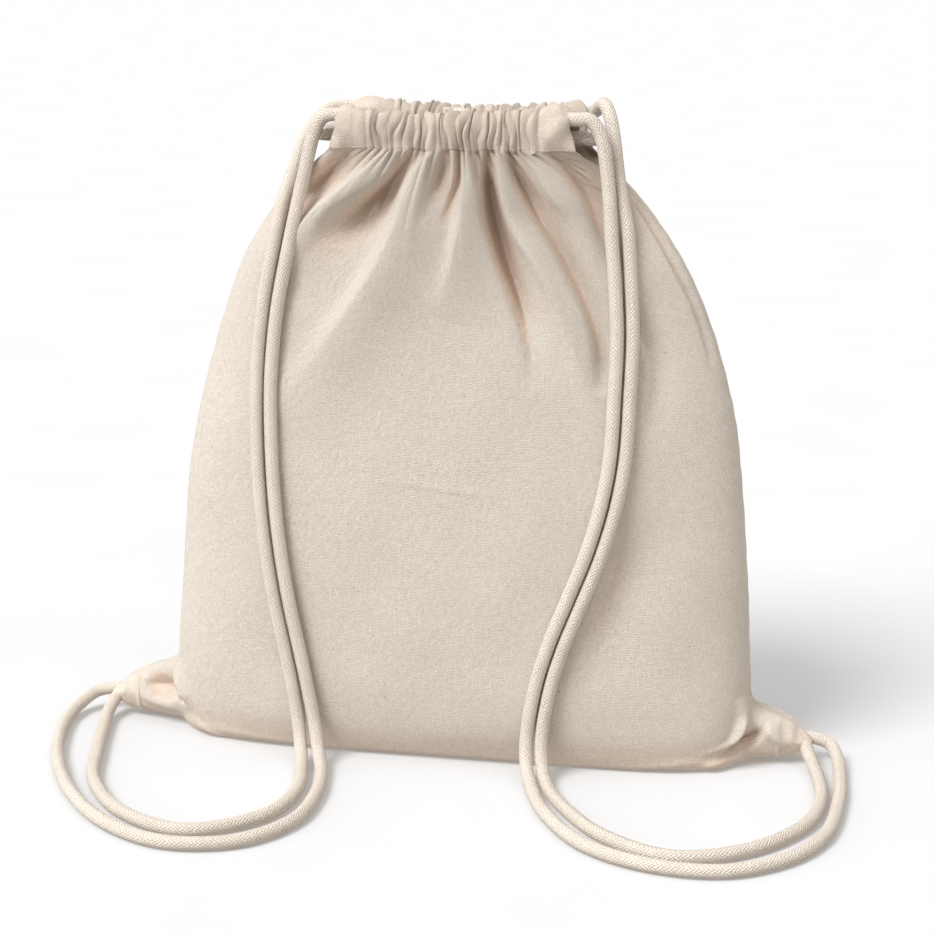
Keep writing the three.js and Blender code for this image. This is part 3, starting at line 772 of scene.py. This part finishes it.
def panel_form(tree, side, creases):
    """The panel's smooth shape: a coarse grid of points spread evenly over the sack's surface."""
    rows, columns = COARSE
    mirror = np.array((1, -side, 1))
    left = evenly(curve_through(LEFT_EDGE), rows) * mirror
    right = evenly(curve_through(RIGHT_EDGE), rows) * mirror
    bottom = evenly(curve_through(BOTTOM_EDGE), columns)
    flat = np.linspace(-HALF_CUT, HALF_CUT, columns)
    top_x = gather_place(flat, creases, (left[-1, 0], right[-1, 0]))
    middle = (top_x[0] + top_x[-1]) / 2
    reach = abs((top_x - middle) / (top_x[-1] - middle))
    top_depth = MOUTH_DEPTH - 2.5 * reach ** 7
    drawn_up = (0.6 * np.sin(0.09 * flat + 1) + 0.4 * np.sin(0.31 * flat)) * (1 - reach ** 6)
    top = np.stack([top_x, side * top_depth, PANEL_TOP + drawn_up], axis=1)
    u = np.linspace(0, 1, columns)[None, :, None]
    v = np.linspace(0, 1, rows)[:, None, None]
    form = (1 - v) * bottom + v * top + (1 - u) * left[:, None] + u * right[:, None]
    form -= (1 - v) * ((1 - u) * bottom[0] + u * bottom[-1]) + v * ((1 - u) * top[0] + u * top[-1])
    bulge = (np.sin(math.pi * np.minimum(v * 1.6, 0.5)) * np.sin(math.pi * u)) ** 0.5
    form[..., 1:2] += side * 40 * bulge * (1 - v ** 6)
    for _ in range(70):
        inner = (form[:-2, 1:-1] + form[2:, 1:-1] + form[1:-1, :-2] + form[1:-1, 2:]) / 4
        form[1:-1, 1:-1] = project(tree, inner, side)
    return form


def finer(count, fine_count):
    """The matrix that takes count values along a line to a smooth run of fine_count values."""
    place = np.linspace(0, count - 1, fine_count)
    low = np.clip(place.astype(int), 0, count - 2)
    t = place - low
    weights = (
        -0.5 * t ** 3 + t ** 2 - 0.5 * t, 1.5 * t ** 3 - 2.5 * t ** 2 + 1,
        -1.5 * t ** 3 + 2 * t ** 2 + 0.5 * t, 0.5 * t ** 3 - 0.5 * t ** 2,
    )
    matrix = np.zeros((fine_count, count))
    for offset, weight in zip((-1, 0, 1, 2), weights):
        np.add.at(matrix, (np.arange(fine_count), np.clip(low + offset, 0, count - 1)), weight)
    return matrix


def fold_height(points, folds):
    """How far the folds lift or sink each point of the panel."""
    x, z = points[..., 0], points[..., 2]
    total = np.zeros_like(x)
    for fold in folds:
        line = evenly(curve_through(fold, 4.0), 40)
        nearest = np.full_like(x, 1e9)
        height = np.zeros_like(x)
        width = np.ones_like(x)
        for start, end in zip(line, line[1:]):
            dx, dz = end[0] - start[0], end[1] - start[1]
            px, pz = x - start[0], z - start[1]
            t = np.clip((px * dx + pz * dz) / (dx * dx + dz * dz + 1e-9), 0, 1)
            away = np.hypot(px - t * dx, pz - t * dz)
            right_of_line = dx * pz - dz * px > 0
            closer = away < nearest
            nearest = np.where(closer, away, nearest)
            height = np.where(closer, start[2] + t * (end[2] - start[2]), height)
            spread = np.where(right_of_line, 1 + FOLD_LEAN, 1 - FOLD_LEAN)
            width = np.where(closer, spread * (start[3] + t * (end[3] - start[3])), width)
        total += FOLD_DEPTH * height * np.exp(-(nearest / np.maximum(width, 0.5)) ** 2)
    return total


def dent_height(points, dents):
    """How far the flat-bottomed dents sink each point of the panel."""
    x, z = points[..., 0], points[..., 2]
    total = np.zeros_like(x)
    for dent_x, dent_z, half_wide, half_high, depth in dents:
        reach = ((x - dent_x) / half_wide) ** 2 + ((z - dent_z) / half_high) ** 2
        total -= depth * np.exp(-reach ** 2)
    return total


def soft_waves(x, z, phase):
    """The slack of cloth over soft contents: a few long shallow waves."""
    return (
        0.9 * np.sin(0.034 * x + 0.013 * z + phase) * np.sin(0.027 * z + 0.6 * phase)
        + 0.5 * np.sin(0.061 * x - 0.022 * z + 2.1 * phase) * np.sin(0.049 * z + 1.7)
        + 0.22 * np.sin(0.12 * x + 0.05 * z) * np.sin(0.10 * z - 0.03 * x + phase)
    )


def outward_normals(points, side):
    """Unit normals of a grid of points, pointing out of the sack."""
    normals = np.cross(np.gradient(points, axis=1), np.gradient(points, axis=0))
    normals /= np.linalg.norm(normals, axis=2)[..., None] + 1e-9
    return normals if side < 0 else -normals


def panel_cloth(tree, side, creases, folds, dents, phase):
    """The finished panel as a fine grid of points, each one's place across and up the flat cloth,
    and how much painted shade and painted warm glow it gets."""
    rows, columns = FINE
    form = panel_form(tree, side, creases)
    taller = np.tensordot(finer(COARSE[0], rows), form, axes=(1, 0))
    points = np.tensordot(finer(COARSE[1], columns), taller, axes=(1, 1)).transpose(1, 0, 2)
    across = np.linspace(-HALF_CUT, HALF_CUT, columns)[None, :] + np.zeros((rows, 1))
    up = np.linspace(0, PANEL_HEIGHT, rows)[:, None] + np.zeros((1, columns))
    normals = outward_normals(points, side)
    x, z = points[..., 0], points[..., 2]

    from_edge = HALF_CUT - abs(across)
    from_seam = 1 - np.exp(-(from_edge / 7) ** 2)
    reach_down = 8 + 19 * (0.5 + 0.5 * np.sin(0.13 * across + phase)) ** 2
    gathers = gather_wave(across, creases) - 0.5
    gathers = gathers * GATHER_DEPTH * np.exp(-(np.maximum(PANEL_TOP - z, 0) / reach_down) ** 1.5)
    folded = (fold_height(points, folds) + dent_height(points, dents)) * from_seam
    folded *= 0.55 + 0.45 * ease(PANEL_TOP - z, 0, 24)
    lift = folded + gathers * from_seam
    lift += soft_waves(x, z, phase) * ease(z, 2, 30) * ease(PANEL_TOP - z, 0, 60) * from_seam
    pucker = 0.1 * np.sin(up * 0.43 + 1.4 * np.sin(up * 0.071)) * np.exp(-((from_edge - 4) / 6) ** 2)
    lift += pucker * ease(z, 34, 50) * ease(PANEL_TOP - z, 8, 30) * (from_edge > 0.5)
    lift *= ease(z, 3, 16)
    points = points + normals * lift[..., None]

    groove = 1.6 * np.exp(-(from_edge / 2.4) ** 2) * ease(z, 34, 50)
    points[..., 0] -= np.sign(across) * groove
    points[..., 2] = np.maximum(points[..., 2], CLOTH_LOWEST)
    points[..., 1] = side * np.maximum(side * points[..., 1], 0.05)
    # Painted shade: more on flanks that a fold turns to the right, away from the key light, and in
    # valleys; painted warm glow low on the sack and near the top.
    turned = outward_normals(points, side)[..., 0] - normals[..., 0]
    shade = 0.3 + 0.7 * ease(turned, -0.25, 0.2)
    low_down, high_up = 4.2 * ease(-z, -34, -3), 3.2 * ease(z, 225, 292)
    tint = (1.5 * ease(turned, 0.05, 0.5) - folded) * shade + (low_down + high_up)
    return points, across, up, tint


def add_cloth(name, node, side, cloth, material):
    """A thickened sheet from what panel_cloth or casing_cloth gives."""
    points, across, up, tint = cloth
    faces = grid_faces(*points.shape[:2], flip=side > 0)
    piece = make_object(name, points.reshape(-1, 3), faces, material)
    set_uv(piece, np.stack([across.ravel(), up.ravel()], axis=1) * MM)
    # Painted shade for the canvas material, and painted deep shade where it is strongest.
    set_value(piece, "painted_shade", ease(tint, 0.8, 6))
    set_value(piece, "painted_deep_shade", ease(tint, 6.5, 13))
    thicken(piece, CLOTH)
    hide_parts(node)
    return piece


# ---- casings ----
def casing_cloth(side, top_row, creases, crest):
    """The gathered tunnel above a panel, as panel_cloth gives it; it starts on the panel's top row."""
    columns = len(top_row)
    section = evenly(curve_through([(d, s * CASING_HEIGHT) for d, s in CASING_SECTION], 0.5), 90)
    across = np.linspace(-HALF_CUT, HALF_CUT, columns)
    x = gather_place(across, creases, (top_row[0, 0], top_row[-1, 0]))
    x = 0.6 * x + 0.4 * np.convolve(np.pad(x, 6, mode="edge"), np.ones(13) / 13, "valid")
    crest_height = smooth_table(x, crest)[..., 0] - PANEL_TOP
    depth, share = section[:, 0], section[:, 1] / CASING_HEIGHT
    base = np.stack(np.broadcast_arrays(
        x[None, :], side * depth[:, None], PANEL_TOP + share[:, None] * crest_height[None, :]), axis=-1)
    tangent = np.gradient(section, axis=0)
    outward = np.stack([0 * depth, side * tangent[:, 1], -tangent[:, 0]], axis=1)
    outward /= np.linalg.norm(outward, axis=1)[:, None]
    round_way = np.linspace(0, 1, len(section))[:, None]
    flat = across[None, :]
    drift = 7 * np.sin(0.045 * flat + 7 * round_way) + 3 * np.sin(0.11 * flat - 11 * round_way + side)
    drift = drift * ease(round_way, 0, 0.2) * ease(HALF_CUT - abs(flat), 15, 50)
    wave = gather_wave(flat + drift, creases) - 0.55
    fullness = (0.8 + 0.35 * np.sin(math.pi * np.minimum(round_way * 2.6, 1))) * (
        1 - 0.5 * ease(round_way, 0.5, 0.7))
    fullness = fullness * (1 + 0.3 * np.sin(0.083 * flat + 5 * round_way))
    lift = wave * GATHER_DEPTH * fullness
    lift = lift + 0.7 * np.sin(0.06 * flat + 6 * round_way) * np.sin(9 * round_way + 0.03 * flat)
    ends = ease(abs(flat), HALF_CUT - 34, HALF_CUT - 4)
    slant = np.sin(26 * round_way - 0.19 * abs(flat) + side)
    lift = lift + ends * (0.9 * slant * ease(round_way, 0.02, 0.12) - 0.2)
    turned_in = np.clip((abs(flat) - (HALF_CUT - 15)) / 15, 0, 1) ** 2
    lift = lift - 2.4 * turned_in * ease(round_way, 0, 0.1) * ease(-round_way, -0.55, -0.45)
    points = base + outward[:, None, :] * lift[..., None]
    drawn_in = turned_in * (1.2 + 1.6 * np.sin(8 * round_way)) * ease(round_way, 0, 0.2)
    points[..., 0] -= np.sign(flat) * drawn_in
    points[..., 0] += 0.9 * np.sin(0.21 * flat + 1.3) * np.sin(math.pi * round_way) * (1 - ends)
    grow = ease(round_way, 0, 0.08 + 0.06 * ends)[..., None]
    points = (1 - grow) * top_row[None] + grow * points
    run = np.concatenate([[0], np.cumsum(np.linalg.norm(np.diff(section, axis=0), axis=1))])
    up = PANEL_HEIGHT + run[:, None] + np.zeros((1, columns))
    # The last value is painted shade: some over the whole casing and more in the creases between its
    # gathers.
    return points, flat + np.zeros_like(up), up, 3.2 + 2 * ease(-wave, 0.3, 0.6)


def add_stitches(name, node, body, side, cloth, material):
    """One lockstitch after another along a casing, just above its lower edge."""
    points, across, _, _ = cloth
    row = CASING_STITCH_ROW
    raised, stitch, gap, radius = 0.12, 2.7, 0.8, 0.18
    line = points[row] + outward_normals(points, side)[row] * raised
    flat = across[row]
    parts = []
    for start in np.arange(-HALF_CUT + 3, HALF_CUT - 3 - stitch, stitch + gap):
        at = np.linspace(start, start + stitch, 6)
        path = np.stack([np.interp(at, flat, line[:, k]) for k in range(3)], axis=1)
        taper = radius * np.array([0.35, 0.9, 1, 1, 0.9, 0.35])[:, None]
        parts.append(tube(path, taper, 6))
    piece = make_object(name, *join_parts(parts), material)
    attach(piece, body)
    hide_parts(node)
    return piece


# ---- seams ----
def add_allowance(name, node, points, loops, canvas, thread):
    """A seam allowance from a grid of points, and the overlock thread that winds along it."""
    piece = make_object(name, points.reshape(-1, 3), grid_faces(*points.shape[:2]), canvas)
    set_uv(piece, points[..., [0, 2]].reshape(-1, 2) * MM)
    thicken(piece, ALLOWANCE_THICKNESS)
    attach(piece, "sack")
    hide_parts(node)
    stitches = make_object(name + "_overlock", *tube(loops, OVERLOCK_RADIUS, 5), thread)
    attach(stitches, "sack")


def add_side_seam(name, node, edge, canvas, thread):
    """The overlocked allowance that stands inside the sack along a side seam."""
    foot, head, middle = 62, 282, 0.35
    line = evenly(edge[(edge[:, 2] > foot) & (edge[:, 2] < head)], 150)
    inward = -np.sign(line[0, 0])
    wavy = 0.5 * np.sin(np.linspace(0, 1, len(line)) * 46 + 0.5)
    steps = np.linspace(0, 1, ALLOWANCE_STEPS)
    base = line + np.array((inward * SEAM_GAP, 0, 0))
    points = base[:, None] + steps[None, :, None] * np.array((inward * ALLOWANCE_WIDTH, 0, 0))
    points[..., 1] = middle + wavy[:, None] * steps[None, :]
    loops = evenly(line, 420)
    turn = np.arange(len(loops)) % 4
    loops = loops + np.array((inward * SEAM_GAP, middle, 0))
    loops[:, 0] += inward * OVERLOCK_ACROSS[turn]
    loops[:, 1] += OVERLOCK_ASIDE[turn]
    add_allowance(name, node, points, loops, canvas, thread)


def add_bottom_seam(name, node, canvas, thread):
    """The overlocked allowance that stands inside the sack along its bottom."""
    low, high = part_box(node)
    margin = 0.2
    run = np.linspace(low[0] / MM, high[0] / MM, 160)
    height = (high[2] - low[2]) / MM
    x, share = np.meshgrid(run, np.linspace(0, 1, ALLOWANCE_STEPS), indexing="ij")
    z = low[2] / MM + margin + share * (height - 2 * margin)
    points = np.stack([x, 0.5 * np.sin(x * 0.16) * share, z], axis=-1)
    count = 480
    turn = np.arange(count) % 4
    loops = np.stack([
        np.linspace(run[0], run[-1], count), OVERLOCK_ASIDE[turn],
        low[2] / MM + OVERLOCK_ACROSS_BOTTOM[turn]], axis=1)
    add_allowance(name, node, points, loops, canvas, thread)


def add_bartack(name, node, trees, side, material):
    """Dense zigzag stitching round an ear, through which the cord's ends are held."""
    near, wide, middle, raised, radius = 167.4, 3.0, 13.0, 0.15, 0.2
    angles = np.linspace(math.radians(-60), math.radians(60), 62)
    path = [(near + wide * (k % 2), angle) for k, angle in enumerate(angles)]
    parts = []
    for face, tree in trees:
        line = []
        for x, angle in path:
            out = Vector((0, face * math.cos(angle), math.sin(angle)))
            start = Vector((side * x, 0, middle)) * MM + out * 0.05
            hit = tree.ray_cast(start, -out)[0]
            if hit is not None:
                line.append(np.array(hit) / MM + np.array(out) * raised)
        parts.append(tube(evenly(np.array(line), 8 * len(line)), radius, 6))
    piece = make_object(name, *join_parts(parts), material)
    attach(piece, "sack")
    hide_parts(node)


# ---- the object ----
def main():
    add_camera()
    add_studio()
    canvas, cord, thread = canvas_material(), cord_material(), thread_material()
    add_cord("left_cord_braid", "left_cord", LEFT_CORD_ROUTE, cord)
    add_cord("right_cord_braid", "right_cord", RIGHT_CORD_ROUTE, cord)

    tree = sack_surface()
    front = panel_cloth(tree, -1, FRONT_CREASES, FRONT_FOLDS, FRONT_DENTS, 0.4)
    back = panel_cloth(tree, 1, BACK_CREASES, BACK_FOLDS, BACK_DENTS, 2.2)
    front_piece = add_cloth("front_panel_cloth", "front_panel", -1, front, canvas)
    back_piece = add_cloth("back_panel_cloth", "back_panel", 1, back, canvas)
    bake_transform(front_piece)
    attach(back_piece, "sack")

    for end, side, body, panel, panel_piece, creases, crest in (
        ("front", -1, "front_lip", front, front_piece, FRONT_CREASES, FRONT_CREST),
        ("back", 1, "sack", back, back_piece, BACK_CREASES, BACK_CREST),
    ):
        cloth = casing_cloth(side, panel[0][-1], creases, crest)
        casing = add_cloth(f"{end}_casing_cloth", f"{end}_casing", side, cloth, canvas)
        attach(casing, body)
        stitches = add_stitches(
            f"{end}_casing_stitches", f"{end}_casing_stitching", body, side, cloth, thread)

    for hand, column in (("left", 0), ("right", -1)):
        edge = front[0][:, column]
        add_side_seam(f"{hand}_seam_allowance", f"{hand}_side_seam", edge, canvas, thread)
    add_bottom_seam("bottom_seam_allowance", "bottom_seam", canvas, thread)
    graph = bpy.context.evaluated_depsgraph_get()
    trees = [(-1, BVHTree.FromObject(front_piece, graph)), (1, BVHTree.FromObject(back_piece, graph))]
    for hand, side in (("left", -1), ("right", 1)):
        add_bartack(f"{hand}_bartack_stitches", f"{hand}_corner_bartack", trees, side, thread)


main()
